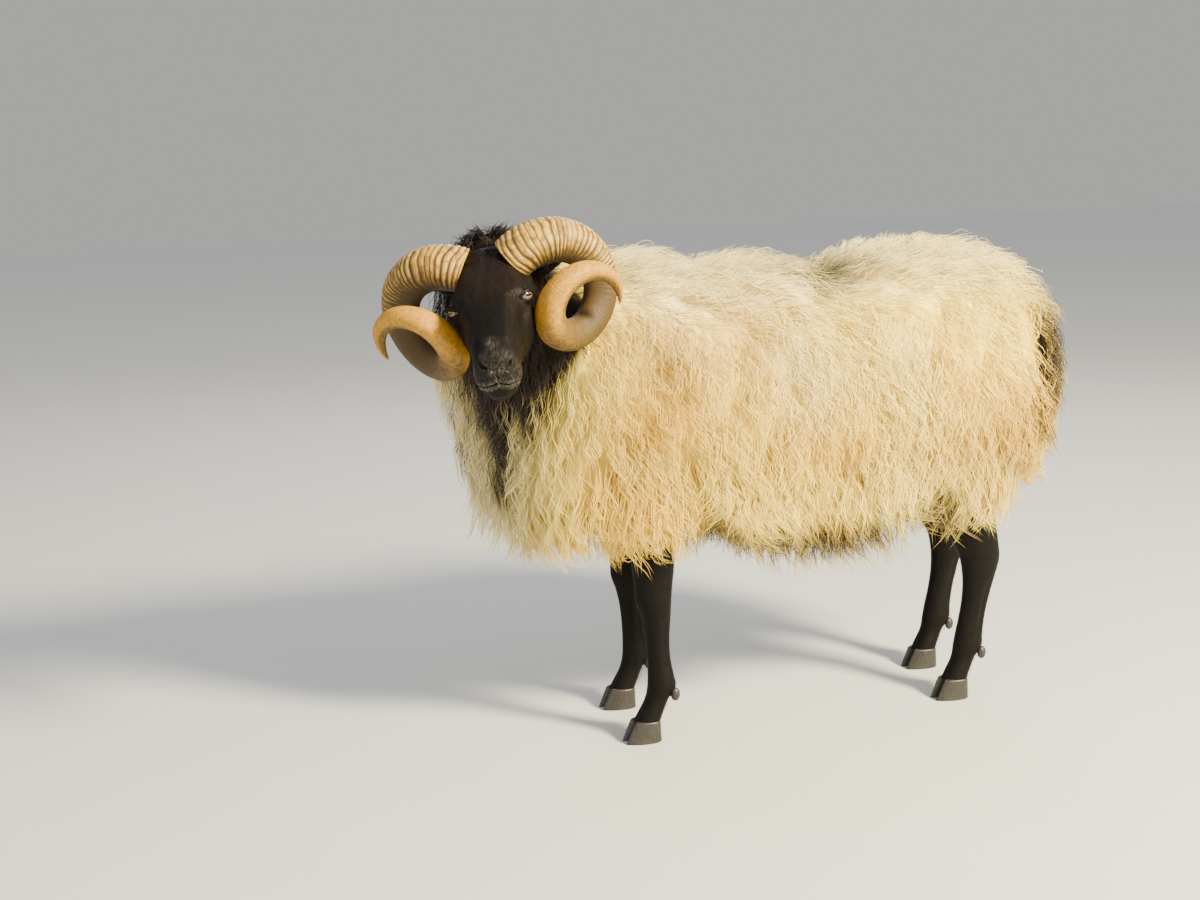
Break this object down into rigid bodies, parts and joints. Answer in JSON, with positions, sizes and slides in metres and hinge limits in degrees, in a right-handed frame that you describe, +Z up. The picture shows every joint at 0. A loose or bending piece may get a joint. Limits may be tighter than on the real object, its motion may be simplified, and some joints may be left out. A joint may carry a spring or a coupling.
{
  "type": "blackface ram figure",
  "caption": "Life-size still model of a Blackface ram standing with its head turned to its left, in full fleece, with coiled ribbed horns.",
  "frame": {"origin": "middle of the model's box on the floor, under the ram", "axes": "the ram faces -X, its left side is -Y, +Z is up"},
  "size_m": [1.2962, 0.5878, 0.891],
  "materials": {
    "fleece": "long, wavy cream and tan wool, matt",
    "ruff": "long dark brown, grey and off-white wool, matt",
    "black_hair": "short, dense black-brown hair with a soft gloss",
    "horn": "honey-coloured horn, ribbed near the head, satin",
    "claw": "dark grey-black hoof horn, satin",
    "eye": "wet, amber-brown eye with a dark slit pupil"
  },
  "bodies": {
    "root": {"torso": "fleece", "tail": "fleece", "neck": "ruff", "head": "black_hair", "ear_left": "black_hair", "ear_right": "black_hair", "eye_left": "eye", "eye_right": "eye", "horn_left": "horn", "horn_right": "horn", "leg_front_left": "black_hair", "leg_front_right": "black_hair", "leg_hind_left": "black_hair", "leg_hind_right": "black_hair", "claw_front_left_inner": "claw", "claw_front_left_outer": "claw", "claw_front_right_inner": "claw", "claw_front_right_outer": "claw", "claw_hind_left_inner": "claw", "claw_hind_left_outer": "claw", "claw_hind_right_inner": "claw", "claw_hind_right_outer": "claw"}
  },
  "joints": []
}
